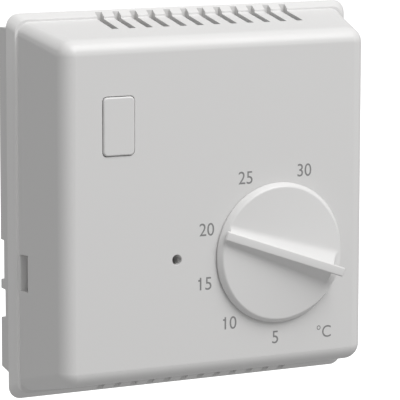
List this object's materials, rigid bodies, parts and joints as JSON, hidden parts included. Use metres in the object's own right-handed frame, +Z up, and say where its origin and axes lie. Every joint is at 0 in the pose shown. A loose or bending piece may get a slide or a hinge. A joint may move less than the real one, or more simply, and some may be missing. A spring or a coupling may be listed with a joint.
{
  "type": "wall thermostat",
  "caption": "Square white wall thermostat with sloped vented cover, lower-right dial knob with a rising grip fin, blank switch insert and bimetal switch inside.",
  "frame": {"origin": "centre of the back face, on the wall plane", "axes": "+X right as seen from the front, +Y into the wall, +Z up; the dial faces -Y"},
  "size_m": [0.075, 0.0255, 0.075],
  "materials": {
    "case_plastic": "fine matt, white",
    "knob_plastic": "satin, white",
    "cold_ring": "satin, blue",
    "warm_ring": "satin, red",
    "mechanism_plastic": "natural nylon",
    "plated_steel": "zinc plated",
    "spring_steel": "oil dark",
    "contact_silver": "silver faced",
    "brass": "bright stamped brass",
    "ferrite": "sintered, dark grey",
    "bimetal": "rolled, warm grey",
    "resistor_body": "lacquered, tan",
    "terminal_plastic": "satin, off-white",
    "copper_lead": "brown sleeve over copper strands"
  },
  "bodies": {
    "case": {"front_cover": "case_plastic", "base_plate": "case_plastic", "blanking_insert": "case_plastic", "cover_screw": "plated_steel", "spindle_bridge": "plated_steel", "bridge_screws": "plated_steel", "lever_pivot_pin": "plated_steel", "lever_spring": "spring_steel", "fixed_contact": "contact_silver", "contact_bracket": "brass", "magnet": "ferrite", "magnet_holder": "plated_steel", "calibration_screw": "brass", "bracket_rivets": "plated_steel", "feedback_resistor": "resistor_body", "terminal_block": "terminal_plastic", "terminal_clamps": "brass", "terminal_screws": "plated_steel", "line_bus": "brass", "load_bus": "brass", "neutral_bus": "brass", "lever_lead": "copper_lead"},
    "dial": {"knob": "knob_plastic", "range_ring_min": "cold_ring", "range_ring_max": "warm_ring", "spindle": "mechanism_plastic", "spindle_clip": "spring_steel"},
    "lever": {"adjusting_lever": "mechanism_plastic"},
    "strip": {"bimetal_strip": "bimetal", "bimetal_rivets": "plated_steel", "armature_plate": "plated_steel", "moving_contact": "contact_silver"}
  },
  "joints": [
    {"name": "knob_turn", "type": "hinge", "parent": "case", "child": "dial", "pos_m": [0.0135, -0.012, -0.0101], "axis": [0, 1, 0], "range_deg": [-108, 91]},
    {"name": "lever_tilt", "type": "hinge", "parent": "case", "child": "lever", "pos_m": [-0.008, -0.006, 0], "axis": [0, -1, 0], "range_deg": [-1.7, 1.45]},
    {"name": "strip_flex", "type": "hinge", "parent": "lever", "child": "strip", "pos_m": [-0.008, -0.0105, 0.00725], "axis": [0, -1, 0], "range_deg": [-1, 1], "stiffness_Nm_per_rad": 0.05}
  ],
  "couplings": [
    {"joint": "lever_tilt", "follows": "knob_turn", "ratio": 0.015}
  ]
}
